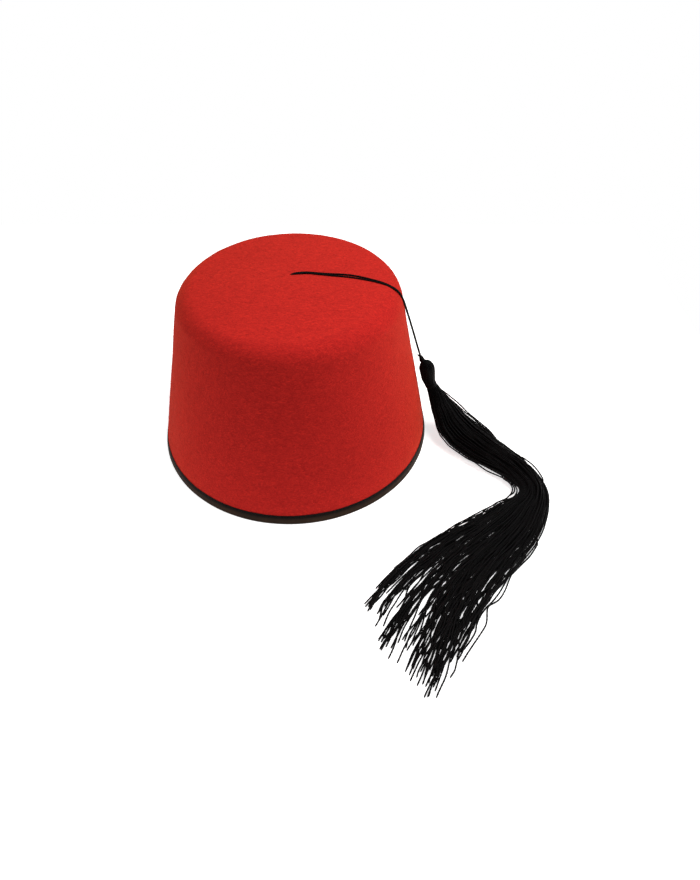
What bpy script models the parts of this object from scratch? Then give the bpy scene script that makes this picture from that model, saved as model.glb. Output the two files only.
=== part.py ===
"""A felt fez resting on its rim, with a doubled cord and a tassel.

Metres, +Z up, +Y to the back. The origin is on the ground, under the middle of the crown.
"""

from math import atan, cos, hypot, pi, radians, sin, sqrt

import bpy
from mathutils import Vector

# The felt crown: half widths run left to right, and OVAL stretches them front to back
FOOT_HALF_WIDTH = 0.0888
TOP_HALF_WIDTH = 0.0685
OVAL = 1.12
CROWN_HEIGHT = 0.1086
SHOULDER_RADIUS = 0.012
DOME_RISE = 0.0028
FELT = 0.0022
HOLE_CENTRE = (0.0014, 0.0070)
HOLE_RADIUS = 0.0016

# The ribbon folded over the crown's edge
RIBBON = 0.0008
RIBBON_HEIGHT = 0.0075

# The doubled cord and its knots
CORD_DIAMETER = 0.0010
STOP_KNOT_RADIUS = 0.0030
STOP_KNOT_HEIGHT = 0.0042
KNOT_RADIUS = 0.0018
KNOT_LENGTH = 0.0052
TAIL_LENGTH = 0.0045
TAIL_LEAN = 55.0

# The tassel: its head hangs along an axis that leans from the vertical
HEAD_LEAN = 22.0
HEAD_HEADING = 14.0
HEAD_RADIUS = 0.0048
HEAD_LENGTH = 0.0192
NECK_RADIUS = 0.0028
NECK_THREAD = 0.0008
NECK_TURNS = 4
NECK_FOOT = 0.0015
SKIRT_RUN = 0.265
FAN_WIDTH = 0.066
BUNDLE_HEIGHT = 0.0085
LOCK_HALF_WIDTH = 0.0026
LOCK_OVERLAP = 1.6
LOCK_TIP = 0.35
TAPER_START = 0.70
ROUND_START = 0.97
ROUND_END = 0.3
BACKING_END = 0.76
BACKING_WIDTH = 0.88
BACKING_HEIGHT = 0.70

# Clearance between pieces that touch
GAP = 0.0003

# Facets
RIM_SIDES = 64
SHOULDER_STEPS = 6
KNOT_SIDES = 12
HEAD_SIDES = 20
LOCK_SIDES = 8
LOCK_STATIONS = 20
STATION_BIAS = 1.25
SPINE_STEPS = 120
CORD_STEPS = 2

# The cord's route from the stop knot to the tassel: x, y, z and the strands' distance apart
CORD_ROUTE = (
    (0.0010, 0.0070, 0.1092, 0.0013),
    (0.0010, 0.0070, 0.1103, 0.0013),
    (0.0016, 0.0070, 0.1116, 0.0013),
    (0.0030, 0.0071, 0.1122, 0.0013),
    (0.0060, 0.0077, 0.1122, 0.0013),
    (0.0110, 0.0082, 0.1122, 0.0013),
    (0.0175, 0.0074, 0.1121, 0.0014),
    (0.0245, 0.0065, 0.1119, 0.0019),
    (0.0315, 0.0058, 0.1117, 0.0026),
    (0.0385, 0.0048, 0.1114, 0.0028),
    (0.0455, 0.0030, 0.1110, 0.0024),
    (0.0525, 0.0007, 0.1106, 0.0017),
    (0.0585, -0.0022, 0.1102, 0.0013),
    (0.0630, -0.0049, 0.1092, 0.0013),
    (0.0666, -0.0065, 0.1073, 0.0013),
    (0.0690, -0.0069, 0.1042, 0.0013),
    (0.0707, -0.0068, 0.1001, 0.0013),
    (0.0730, -0.0059, 0.0926, 0.0013),
    (0.0756, -0.0048, 0.0840, 0.0014),
    (0.0784, -0.0036, 0.0744, 0.0015),
    (0.0810, -0.0026, 0.0653, 0.0014),
    (0.0832, -0.0019, 0.0579, 0.0013),
)

# The dome and shoulder of the crown from the shoulder inwards, in shares of TOP_HALF_WIDTH
DOME_SHARES = (0.62, 0.40, 0.20)

# The tassel's head, in shares of HEAD_RADIUS and HEAD_LENGTH from its top
HEAD_PROFILE = (
    # radius, length
    (0.36, 0.00),
    (0.58, 0.04),
    (0.86, 0.12),
    (0.98, 0.22),
    (1.00, 0.36),
    (0.94, 0.56),
    (0.87, 0.76),
    (0.80, 0.92),
)

# A small round knot, in shares of its radius and length
KNOT_PROFILE = (
    # radius, length
    (0.55, 0.00),
    (0.90, 0.14),
    (1.00, 0.45),
    (0.92, 0.80),
    (0.65, 1.00),
)

# The skirt's fall and lay, in shares of SKIRT_RUN, FAN_WIDTH, BUNDLE_HEIGHT and the neck's height
SKIRT = (
    # run, heading in degrees, width, height, lift
    (0.00, -15.0, 0.070, 0.54, 1.00),
    (0.01, -25.0, 0.12, 0.66, 0.80),
    (0.03, -42.0, 0.26, 0.90, 0.55),
    (0.07, -52.0, 0.37, 1.00, 0.26),
    (0.12, -55.0, 0.42, 1.00, 0.08),
    (0.18, -54.0, 0.42, 1.00, 0.00),
    (0.24, -50.0, 0.40, 1.00, 0.00),
    (0.30, -57.0, 0.39, 1.00, 0.00),
    (0.34, -73.0, 0.35, 1.00, 0.00),
    (0.38, -98.0, 0.35, 1.00, 0.00),
    (0.43, -119.0, 0.43, 0.95, 0.00),
    (0.49, -135.0, 0.59, 0.80, 0.00),
    (0.57, -140.0, 0.72, 0.65, 0.00),
    (0.67, -134.0, 0.85, 0.52, 0.00),
    (0.79, -121.0, 0.95, 0.42, 0.00),
    (1.00, -114.0, 1.00, 0.35, 0.00),
)

# The skirt's locks: place across and up in half widths and half heights, and end as a share of the run
LOCKS = (
    # across, up, end
    (-0.88, -0.42, 0.86),
    (-0.58, -0.42, 0.90),
    (-0.29, -0.42, 0.95),
    (0.00, -0.42, 0.96),
    (0.29, -0.42, 0.98),
    (0.58, -0.42, 1.00),
    (0.88, -0.42, 0.92),
    (-0.73, 0.42, 0.82),
    (-0.44, 0.42, 0.89),
    (-0.14, 0.42, 0.92),
    (0.14, 0.42, 0.90),
    (0.44, 0.42, 0.97),
    (0.73, 0.42, 0.95),
)


def clear_scene():
    for obj in list(bpy.data.objects):
        bpy.data.objects.remove(obj)


def material(name, colour, roughness):
    made = bpy.data.materials.new(name)
    made.use_nodes = True
    shader = made.node_tree.nodes["Principled BSDF"]
    shader.inputs["Base Color"].default_value = (*colour, 1.0)
    shader.inputs["Roughness"].default_value = roughness
    shader.inputs["Metallic"].default_value = 0.0
    return made


def add_object(name, points, faces, finish):
    mesh = bpy.data.meshes.new(name)
    mesh.from_pydata([tuple(p) for p in points], [], faces)
    mesh.validate()
    mesh.shade_smooth()
    mesh.set_sharp_from_angle(angle=radians(40))
    mesh.materials.append(finish)
    obj = bpy.data.objects.new(name, mesh)
    bpy.context.scene.collection.objects.link(obj)
    return obj


def skin(rings, start=True, end=True, loop=False):
    """Points and faces of a surface through rings of equal length, capped at its ends or closed into a loop."""
    sides = len(rings[0])
    points = [p for ring in rings for p in ring]
    faces = []
    last = len(rings) if loop else len(rings) - 1
    for i in range(last):
        low = i * sides
        high = (i + 1) % len(rings) * sides
        for j in range(sides):
            k = (j + 1) % sides
            faces.append((low + j, low + k, high + k, high + j))
    if start and not loop:
        faces.append(tuple(reversed(range(sides))))
    if end and not loop:
        faces.append(tuple(range(len(points) - sides, len(points))))
    return points, faces


def smooth_rows(rows, steps):
    """Rows of numbers read from a smooth curve through the given rows, steps to a span."""
    read = []
    for i in range(len(rows) - 1):
        before = rows[max(i - 1, 0)]
        after = rows[min(i + 2, len(rows) - 1)]
        for step in range(steps):
            t = step / steps
            row = []
            for a, b, c, d in zip(before, rows[i], rows[i + 1], after):
                bend = (2 * a - 5 * b + 4 * c - d) * t + (3 * b - a - 3 * c + d) * t * t
                row.append(b + 0.5 * t * (c - a + bend))
            read.append(row)
    read.append(list(rows[-1]))
    return read


def at_share(rows, share):
    """The row of a table at a share of its first column, straight between the rows on either side."""
    for low, high in zip(rows, rows[1:]):
        if share <= high[0]:
            break
    t = (share - low[0]) / (high[0] - low[0])
    return [a + (b - a) * t for a, b in zip(low, high)]


def lean():
    """The crown's side leans in by this much for each metre up."""
    return (FOOT_HALF_WIDTH - TOP_HALF_WIDTH) / CROWN_HEIGHT


def side_half_width(z):
    return FOOT_HALF_WIDTH - lean() * z


def dome_height(x, y):
    share = hypot(x, y / OVAL) / TOP_HALF_WIDTH
    return CROWN_HEIGHT + DOME_RISE * (1 - share * share)


def crown_profile():
    """Half width and height of the felt's outer face, from its foot to the cap in the middle of the top."""
    side_angle = atan(lean())
    dome_angle = pi / 2 - atan(2 * DOME_RISE / TOP_HALF_WIDTH)
    half_turn = (dome_angle - side_angle) / 2
    reach = SHOULDER_RADIUS * sin(half_turn) / cos(half_turn)
    start_z = CROWN_HEIGHT - reach * cos(side_angle)
    centre_x = side_half_width(start_z) - SHOULDER_RADIUS * cos(side_angle)
    centre_z = start_z - SHOULDER_RADIUS * sin(side_angle)
    foot_z = RIBBON + GAP + FELT * lean() * OVAL
    rows = [(side_half_width(foot_z), foot_z)]
    for step in range(SHOULDER_STEPS + 1):
        angle = side_angle + (dome_angle - side_angle) * step / SHOULDER_STEPS
        rows.append((centre_x + SHOULDER_RADIUS * cos(angle), centre_z + SHOULDER_RADIUS * sin(angle)))
    for share in DOME_SHARES:
        rows.append((share * TOP_HALF_WIDTH, dome_height(share * TOP_HALF_WIDTH, 0)))
    return rows


def oval_ring(half_width, z, offset=0.0):
    """A level ring around the crown's axis, moved outwards by the offset."""
    ring = []
    for i in range(RIM_SIDES):
        turn = 2 * pi * i / RIM_SIDES
        ring.append((cos(turn) * (half_width + offset), sin(turn) * (half_width * OVAL + offset), z))
    return ring


def make_crown(felt):
    rings = [oval_ring(half_width, z) for half_width, z in crown_profile()]
    crown = add_object("crown", *skin(rings, start=False), felt)
    wall = crown.modifiers.new("wall", "SOLIDIFY")
    wall.thickness = FELT
    wall.offset = -1
    wall.use_even_offset = True
    hole = crown.modifiers.new("cord_hole", "BOOLEAN")
    hole.operation = "DIFFERENCE"
    hole.object = hole_cutter(felt)
    return crown


def hole_cutter(finish):
    x, y = HOLE_CENTRE
    top = Vector((x, y, CROWN_HEIGHT + DOME_RISE + FELT))
    rows = ((HOLE_RADIUS, 0.0), (HOLE_RADIUS, DOME_RISE + 3 * FELT))
    cutter = turned("cord_hole_cutter", rows, top, Vector((0, 0, -1)), KNOT_SIDES, finish)
    cutter.hide_render = True
    cutter.display_type = "WIRE"
    return cutter


def make_rim_binding(ribbon):
    """A ribbon folded under the felt's edge, with a flat foot."""
    inner = -FELT * hypot(1, lean() * OVAL) - GAP
    outer = GAP
    top = RIBBON_HEIGHT
    shoulder = top - RIBBON / 2
    fold = RIBBON * 0.75
    section = (
        (outer + RIBBON, shoulder),
        (outer + RIBBON / 2, top),
        (outer, top),
        (outer, RIBBON),
        (inner, RIBBON),
        (inner, top),
        (inner - RIBBON / 2, top),
        (inner - RIBBON, shoulder),
        (inner - RIBBON, fold),
        (inner - RIBBON + fold * 0.3, fold * 0.3),
        (inner - RIBBON + fold, 0.0),
        (outer + RIBBON - fold, 0.0),
        (outer + RIBBON - fold * 0.3, fold * 0.3),
        (outer + RIBBON, fold),
    )
    rings = [oval_ring(side_half_width(z), z, offset) for offset, z in section]
    return add_object("rim_binding", *skin(rings, loop=True), ribbon)


def turned(name, rows, top, axis, sides, finish, closed=False):
    """A round piece of (radius, distance down the axis) rows, turned about an axis from its top."""
    level = axis.to_track_quat("Z", "Y").to_matrix()
    rings = []
    for radius, down in rows:
        ring = []
        for i in range(sides):
            turn = 2 * pi * i / sides
            ring.append(top + level @ Vector((radius * cos(turn), radius * sin(turn), down)))
        rings.append(ring)
    return add_object(name, *skin(rings, loop=closed), finish)


def make_strand(name, side, thread):
    """One strand of the doubled cord: side is -1 in front and 1 behind."""
    curve = bpy.data.curves.new(name, "CURVE")
    curve.dimensions = "3D"
    curve.bevel_depth = CORD_DIAMETER / 2
    curve.bevel_resolution = 2
    curve.use_fill_caps = True
    rows = smooth_rows(CORD_ROUTE, CORD_STEPS)
    line = curve.splines.new("POLY")
    line.points.add(len(rows) - 1)
    for point, (x, y, z, apart) in zip(line.points, rows):
        point.co = (x, y + side * apart / 2, z, 1.0)
    curve.materials.append(thread)
    obj = bpy.data.objects.new(name, curve)
    bpy.context.scene.collection.objects.link(obj)
    return obj


def make_stop_knot(thread):
    """The knot under the top that keeps the cord from pulling out."""
    x, y = HOLE_CENTRE
    drop = GAP + STOP_KNOT_RADIUS * 2 * DOME_RISE / TOP_HALF_WIDTH
    top = Vector((x, y, dome_height(x, y) - FELT - drop))
    rows = [(r * STOP_KNOT_RADIUS, down * STOP_KNOT_HEIGHT) for r, down in KNOT_PROFILE]
    rows[0] = (STOP_KNOT_RADIUS * 0.8, 0.0)
    return turned("stop_knot", rows, top, Vector((0, 0, -1)), KNOT_SIDES, thread)


def head_axis():
    heading = radians(HEAD_HEADING)
    tilt = radians(HEAD_LEAN)
    return Vector((sin(tilt) * cos(heading), sin(tilt) * sin(heading), -cos(tilt)))


def knot_top():
    return Vector(CORD_ROUTE[-1][:3]) + head_axis() * GAP


def head_top():
    return knot_top() + head_axis() * (KNOT_LENGTH + GAP)


def neck_length():
    """The neck's bare length: the thread's turns, a gap above them and the foot that holds the locks."""
    return GAP + NECK_THREAD * NECK_TURNS + NECK_FOOT


def make_tassel_knot(thread):
    """The knot that ties the cord to the tassel, with its short cut end."""
    rows = [(r * KNOT_RADIUS, down * KNOT_LENGTH) for r, down in KNOT_PROFILE]
    knot = turned("tassel_knot", rows, knot_top(), head_axis(), KNOT_SIDES, thread)
    lean_out = radians(TAIL_LEAN)
    outwards = Vector((-sin(lean_out), 0, cos(lean_out)))
    start = knot_top() + head_axis() * KNOT_LENGTH * 0.35
    end_length = KNOT_RADIUS + TAIL_LENGTH
    rows = ((CORD_DIAMETER / 2, 0.0), (CORD_DIAMETER / 2, end_length))
    tail = turned("tassel_knot_tail", rows, start, outwards, LOCK_SIDES, thread)
    fuse(knot, [tail])
    return knot


def fuse(base, others):
    """Unites closed helpers with a base object, which keeps its name."""
    group = bpy.data.collections.new(base.name + "_parts")
    bpy.context.scene.collection.children.link(group)
    for other in others:
        bpy.context.scene.collection.objects.unlink(other)
        group.objects.link(other)
        other.hide_render = True
        other.display_type = "WIRE"
    union = base.modifiers.new("fused", "BOOLEAN")
    union.operation = "UNION"
    union.operand_type = "COLLECTION"
    union.collection = group
    union.solver = "EXACT"


def make_neck_binding(thread):
    """Thread wound round the tassel's neck."""
    inner = NECK_RADIUS + GAP
    start = HEAD_LENGTH + GAP
    rows = [(inner, start + NECK_THREAD * NECK_TURNS), (inner, start)]
    for turn in range(NECK_TURNS):
        for share, reach in ((0.12, 0.55), (0.5, 1.0), (0.88, 0.55)):
            rows.append((inner + NECK_THREAD * reach, start + NECK_THREAD * (turn + share)))
    return turned("neck_binding", rows, head_top(), head_axis(), HEAD_SIDES, thread, closed=True)


def skirt_spine():
    """Centre, side and up directions, width and height of the skirt at even steps of its run."""
    root = head_top() + head_axis() * (HEAD_LENGTH + neck_length() - GAP)
    place = Vector((root.x, root.y, 0))
    rows = []
    for step in range(SPINE_STEPS + 1):
        _, heading, width, height, lift = at_share(SKIRT, step / SPINE_STEPS)
        along = Vector((cos(radians(heading)), sin(radians(heading)), 0))
        if step:
            place = place + along * SKIRT_RUN / SPINE_STEPS
        rest_z = GAP + height * BUNDLE_HEIGHT / 2
        centre = Vector((place.x, place.y, rest_z + lift * (root.z - rest_z)))
        rows.append((centre, Vector((-along.y, along.x, 0)), width * FAN_WIDTH, height * BUNDLE_HEIGHT))
    return rows


def spine_at(spine, share):
    """Centre, side, up, width and height at a share of the run."""
    place = share * SPINE_STEPS
    i = min(int(place), SPINE_STEPS - 1)
    t = place - i
    low = spine[i]
    high = spine[i + 1]
    ahead = (high[0] - low[0]).normalized()
    side = low[1].lerp(high[1], t).normalized()
    up = ahead.cross(side).normalized()
    width = low[2] + (high[2] - low[2]) * t
    height = low[3] + (high[3] - low[3]) * t
    return low[0].lerp(high[0], t), side, up, width, height


def oval_section(centre, side, up, half_width, half_height, sides):
    ring = []
    for i in range(sides):
        turn = 2 * pi * (i + 0.5) / sides
        ring.append(centre + side * half_width * cos(turn) + up * half_height * sin(turn))
    return ring


def station_shares():
    """Shares of a lock's length, closer together near the neck."""
    return [(station / LOCK_STATIONS) ** STATION_BIAS for station in range(LOCK_STATIONS + 1)]


def rounding(own):
    """Share of its thickness that a lock keeps at a share of its length, down to ROUND_END at its tip."""
    return sqrt(max(ROUND_END ** 2, 1 - max(0, own - ROUND_START) / (1 - ROUND_START)))


def lock_rings(spine, across, up_share, end):
    """Rings of one lock, which narrows to a rounded tip."""
    rows_across = sum(1 for row in LOCKS if row[1] < 0)
    rings = []
    for own in station_shares():
        centre, side, up, width, height = spine_at(spine, own * end)
        taper = 1 - (1 - LOCK_TIP) * max(0, own - TAPER_START) / (1 - TAPER_START)
        half_width = min(LOCK_OVERLAP * width / rows_across / 2, LOCK_HALF_WIDTH) * taper * rounding(own)
        half_height = (1 - abs(up_share)) * height / 2 * rounding(own)
        middle = centre + side * across * width / 2 + up * up_share * height / 2
        rings.append(oval_section(middle, side, up, half_width, half_height, LOCK_SIDES))
    return rings


def backing_rings(spine):
    """Rings of the bundle's core, which holds the locks together until they fan out."""
    rings = []
    for own in station_shares():
        centre, side, up, width, height = spine_at(spine, own * BACKING_END)
        half_width = BACKING_WIDTH * width / 2 * rounding(own)
        half_height = BACKING_HEIGHT * height / 2 * rounding(own)
        rings.append(oval_section(centre, side, up, half_width, half_height, HEAD_SIDES))
    return rings


def make_tassel(thread):
    """The head, neck and skirt, whose locks are fused to the neck."""
    rows = [(r * HEAD_RADIUS, down * HEAD_LENGTH) for r, down in HEAD_PROFILE]
    rows.append((NECK_RADIUS, HEAD_LENGTH))
    rows.append((NECK_RADIUS, HEAD_LENGTH + neck_length()))
    tassel = turned("tassel", rows, head_top(), head_axis(), HEAD_SIDES, thread)
    spine = skirt_spine()
    locks = [add_object("backing", *skin(backing_rings(spine)), thread)]
    for i, (across, up_share, end) in enumerate(LOCKS, 1):
        points, faces = skin(lock_rings(spine, across, up_share, end))
        locks.append(add_object(f"lock_{i}", points, faces, thread))
    fuse(tassel, locks)
    return tassel


def build():
    clear_scene()
    felt = material("red_felt", (0.49, 0.022, 0.014), 0.95)
    ribbon = material("dark_ribbon", (0.028, 0.020, 0.017), 0.7)
    thread = material("black_thread", (0.006, 0.006, 0.007), 0.55)
    make_crown(felt)
    make_rim_binding(ribbon)
    make_strand("cord_strand_front", -1, thread)
    make_strand("cord_strand_back", 1, thread)
    make_stop_knot(thread)
    make_tassel_knot(thread)
    make_neck_binding(thread)
    make_tassel(thread)


build()
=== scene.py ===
"""Looks of the felt fez: camera, light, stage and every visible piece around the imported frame.

Metres, +Z up, +Y to the back, in the frame of the CAD.
"""

from math import atan, cos, hypot, pi, radians, sin, tan

import bpy
import numpy as np
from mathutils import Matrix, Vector


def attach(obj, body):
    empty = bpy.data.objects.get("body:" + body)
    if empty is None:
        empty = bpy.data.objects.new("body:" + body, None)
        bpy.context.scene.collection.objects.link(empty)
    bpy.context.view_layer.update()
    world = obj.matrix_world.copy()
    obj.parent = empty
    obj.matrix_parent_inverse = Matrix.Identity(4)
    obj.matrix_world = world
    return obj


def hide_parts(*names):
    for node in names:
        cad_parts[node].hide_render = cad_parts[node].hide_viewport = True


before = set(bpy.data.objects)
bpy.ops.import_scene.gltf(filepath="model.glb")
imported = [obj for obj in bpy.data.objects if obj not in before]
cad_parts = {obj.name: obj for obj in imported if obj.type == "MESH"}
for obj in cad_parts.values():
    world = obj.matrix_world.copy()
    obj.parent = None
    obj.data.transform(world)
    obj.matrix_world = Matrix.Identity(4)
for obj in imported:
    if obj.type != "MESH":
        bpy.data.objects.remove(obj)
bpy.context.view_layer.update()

SEED = 20
ROOT = "root"
FELT_SLOT, RIBBON_SLOT, THREAD_SLOT = "red_felt", "dark_ribbon", "black_thread"
MM = 0.001

# The camera at the photo's angle
CAMERA_PLACE = (0.03729, -0.44111, 0.34974)
CAMERA_ELEVATION = 39.68
FOCAL_PIXELS = 800.0
FRAME_HEIGHT = 880.0
SENSOR = 36.0

# Light, in units where a level white sheet comes out white at 1. Tilts are from the vertical,
# and headings from +X
FILL = 0.22
KEY, KEY_TILT, KEY_HEADING = 0.74, 33.0, 0.0
KEY_DISTANCE, KEY_RADIUS = 0.7, 0.29
KEY_COLOUR = (1.0, 0.99, 0.97)
BACK, BACK_TILT, BACK_HEADING, BACK_ANGLE = 0.22, 58.0, 172.0, 60.0
FLOOR_HALF = 0.32
FLOOR_GLOW = 0.74

# The crown, with the CAD's own sizes
FOOT_HALF_WIDTH = 0.0888
TOP_HALF_WIDTH = 0.0685
OVAL = 1.12
CROWN_HEIGHT = 0.1086
SHOULDER_RADIUS = 0.012
DOME_RISE = 0.0028
FELT = 0.0022
HOLE_CENTRE = (0.0014, 0.007)
RIBBON = 0.0008

# The crown's finish, which the CAD leaves plain
FELT_SWELL = 0.0004
FOOT_SWELL = 0.0003
FOOT_SWELL_STARTS, FOOT_SWELL_ENDS = (0.006, 0.012), (0.03, 0.065)
UNEVEN_STARTS = (0.004, 0.02)
HEM_DROP = 0.00025
EXIT_CENTRE = (0.0006, 0.007)
EXIT_HALF = (0.00095, 0.00122)
CROWN_SIDES = 288
DOME_RINGS, SHOULDER_RINGS, SIDE_RINGS = 46, 17, 56
DOME_CROWDING = 1.15

# Layers of fibres in the felt: how fine they are along X, Y and Z, and the layer's turn
FIBRE_LAYERS = (
    ((270.0, 800.0, 780.0), 0.05),
    ((1100.0, 340.0, 800.0), 0.7),
    ((340.0, 1200.0, 600.0), 1.0),
)

# Loose fibres on the felt
NAP_FIBRES = 8000
NAP_START = 0.0081
NAP_SCATTER = 0.0006
NAP_LENGTHS = (0.001, 0.003)
NAP_CURL = 0.35
NAP_LIFTS = (0.00006, 0.00038)
NAP_SUNK = 0.00004
NAP_RADIUS = 0.000028

# The binding's ribs, its overlap and its stitches
BINDING_RIBS, RIB_STEPS = 640, 4
RIB_DEPTH, RIB_LEVEL = 0.00007, 0.6
RIBBON_UNEVEN, RIBBON_PUCKER = 0.00005, 0.00009
LAP_PLACE, LAP_TURN, LAP_EDGE = radians(128), 0.12, 0.004
LAP_RISE, LAP_DROP = 0.00022, 0.00016
STITCHES = 214
STITCH_HEIGHT = 0.0051
STITCH_SHARE = 0.37
STITCH_PROUD, STITCH_DEPTH, STITCH_RADIUS = 0.00028, 0.00038, 0.00018

# The ribbon's section outside and inside: distance out from the felt, height, rib depth and painted shade
# The painted shade is near black over the fold at the top and in the stitch groove, and greyer round and
# under the foot
RIBBON_OUTSIDE = (
    (0.00004, 0.00592, 0, 1), (0.0002, 0.0061, 0.3, 1), (0.0003, 0.00601, 0.8, 1),
    (0.00034, 0.00572, 0.8, 1), (0.00026, 0.0054, 0.4, 1), (0.00018, 0.0051, 0.2, 1),
    (0.00026, 0.00482, 0.5, 0.9), (0.00036, 0.0044, 1, 0.95), (0.0004, 0.0037, 1, 0.4),
    (0.00041, 0.0029, 1, 0), (0.00041, 0.0021, 1, 0), (0.0004, 0.00135, 1, 0), (0.00036, 0.00075, 1, 0.1),
    (0.00022, 0.0003, 0.8, 0.4), (-0.00005, 0.00006, 0.4, 0.6), (-0.0006, 0, 0, 0.6),
)
RIBBON_INSIDE = (
    (0.0005, 0, 0, 0.6), (-0.0001, 0.00008, 0.4, 0.5), (-0.00042, 0.0004, 0.8, 0.3),
    (-0.00056, 0.0011, 1, 0), (-0.00056, 0.003, 1, 0), (-0.0005, 0.0043, 1, 0),
    (-0.00026, 0.00505, 0.4, 0.8), (-0.0004, 0.0056, 0.8, 0.9), (-0.00022, 0.0059, 0.4, 1),
    (-0.00004, 0.00578, 0, 1), (-0.00004, 0.0011, 0, 0.6),
)

# The cord, its knots and the tassel's head, with the CAD's own sizes
CORD_DIAMETER = 0.001
KNOT_LENGTH = 0.0052
HEAD_LEAN = 22.0
HEAD_HEADING = 14.0
HEAD_RADIUS = 0.0048
HEAD_LENGTH = 0.0192
NECK_THREAD = 0.0008
NECK_TURNS = 4
NECK_FOOT = 0.0015
GAP = 0.0003

# The finish of the cord and its knots, which the CAD leaves plain
CORD_STEP = 0.0004
CORD_LAY = 0.0031
CORD_PLY = 0.09
CORD_FULLNESS = 0.97
CORD_SUNK = 0.00005
FILAMENTS = 3
ON_FELT = (0.0985, 0.1045)
HANGING, HANGING_TURN = (0.106, 0.096), radians(18)
KNOT_ENTRY, KNOT_APART = 0.0012, 0.0004
WRAP_TURNS, WRAP_TILT = 4.6, 0.00035
TAIL_PLACE, TAIL_LEAN, TAIL_LENGTH = 0.62, radians(42), 0.0037
TAIL_WISPS, WISP_LENGTH, WISP_RADIUS = 9, 0.0009, 0.00007
STOP_LOOP, STOP_RISE, STOP_LAYER = 0.00074, 0.00058, 0.00048

# The finish of the tassel's head and neck
NECK_WRAP_RADIUS = 0.00362
HEAD_STRANDS = 31
HEAD_CORE_DEPTH = 0.00055
HEAD_TWIST = 0.42

# The skirt's spine, with the CAD's own sizes
SKIRT_RUN = 0.265
BUNDLE_HEIGHT = 0.0085
SLICES = 132

# The skirt's strands, which the CAD gathers in locks
STRANDS = 150
STRAND_RADIUS = 0.00048
NECK_STRAND_RADIUS = 0.00031
STRAND_STEP = 0.0011
STRAND_SIDES = 6
STRAND_PLY = 0.14
STRAND_LAY = 0.0052
SKIRT_PIECES = 4

# Where the strands run on inside the neck: metres up it, and share of their distance from its middle
NECK_ROOTS = ((0.005, 0.8), (0.0032, 0.8), (0.0015, 0.87))

# Where the strands loosen, change places and open in the fan, in shares of the run
LOOSENS, CHANGES, FAN_OPENS = (0.03, 0.2), (0.18, 0.4), (0.48, 0.72)

# How they sway: the length of a swing in shares of the run, and millimetres in the bundle and the fan
STRAND_SWAYS = ((0.16, 0.7, 1.0), (0.055, 0.18, 0.58))
CLUMP = 3
CLUMP_SWAYS = ((0.14, 0.5), (0.05, 0.4))

# The ends that don't show: millimetres across, the share near a tip and its spread, and the run's share
HIDDEN_ACROSS, FAN_EDGES = (-27.8, 27.5), (-27.8, 28.0)
NEAR_TIP, TIP_SPREAD = 0.25, 2.0
HIDDEN_END, HIDDEN_SPREAD, SHORTEST = 0.845, 0.085, 0.65

# Strays: by their end they leave the neck level, are picked by place in the bundle, or end in the fan
STRAY_LEVEL, STRAY_BUNDLE, STRAY_TIP = 0.2, 0.3, 0.7
STRAY_BLEND, STRAY_HOLD = 0.03, 0.6

# How they settle: each round's fall, the room under the lowest, and the most that one moves, in radii
SETTLE_ROUNDS = 170
FALL = 0.00012
FLOOR_ROOM = 0.00008
MOST_MOVED = 0.8
SLIDE, FAN_STIFFNESS, RISE = 0.8, 0.55, 0.8

CORD_ROUTE = (
    # x, y, z and the strands' distance apart
    (0.0012, 0.007, 0.1084, 0.0013), (0.0007, 0.007, 0.1096, 0.0013), (0.0006, 0.007, 0.1106, 0.0013),
    (0.0012, 0.007, 0.1114, 0.0013), (0.0024, 0.0071, 0.1119, 0.0013), (0.004, 0.0073, 0.1122, 0.0013),
    (0.0065, 0.0077, 0.1123, 0.0013), (0.011, 0.0082, 0.1122, 0.0013), (0.0175, 0.0074, 0.1121, 0.0014),
    (0.0245, 0.0065, 0.1119, 0.0019), (0.0315, 0.0058, 0.1117, 0.0026), (0.0385, 0.0048, 0.1114, 0.0028),
    (0.0455, 0.003, 0.111, 0.0024), (0.0525, 0.0007, 0.1106, 0.0017), (0.0585, -0.0022, 0.1102, 0.0013),
    (0.063, -0.0049, 0.1092, 0.0013), (0.0666, -0.0065, 0.1073, 0.0013), (0.069, -0.0069, 0.1042, 0.0013),
    (0.0707, -0.0068, 0.1001, 0.0012), (0.073, -0.0059, 0.0926, 0.0011), (0.0756, -0.0048, 0.084, 0.0011),
    (0.0784, -0.0036, 0.0744, 0.0011), (0.081, -0.0026, 0.0653, 0.0011), (0.0832, -0.0019, 0.0579, 0.001),
)

HEAD_PROFILE = (
    # length, radius, in shares of the head's
    (-0.03, 0.2), (0, 0.33), (0.05, 0.5), (0.11, 0.74), (0.18, 0.92), (0.26, 1.01), (0.36, 1.03),
    (0.5, 0.99), (0.66, 0.93), (0.8, 0.88), (0.92, 0.85), (1, 0.8), (1.08, 0.74), (1.22, 0.74),
)

SPINE = (
    # run, heading in degrees, height, lift
    (0, -15, 0.54, 1), (0.01, -25, 0.66, 0.8), (0.03, -42, 0.9, 0.55), (0.07, -52, 1, 0.26),
    (0.12, -55, 1, 0.08), (0.18, -54, 1, 0), (0.24, -50, 1, 0), (0.3, -57, 1, 0), (0.34, -73, 1, 0),
    (0.38, -98, 1, 0), (0.43, -119, 0.95, 0), (0.49, -135, 0.8, 0), (0.57, -140, 0.65, 0),
    (0.67, -134, 0.52, 0), (0.79, -121, 0.42, 0), (1, -114, 0.35, 0),
)

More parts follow.
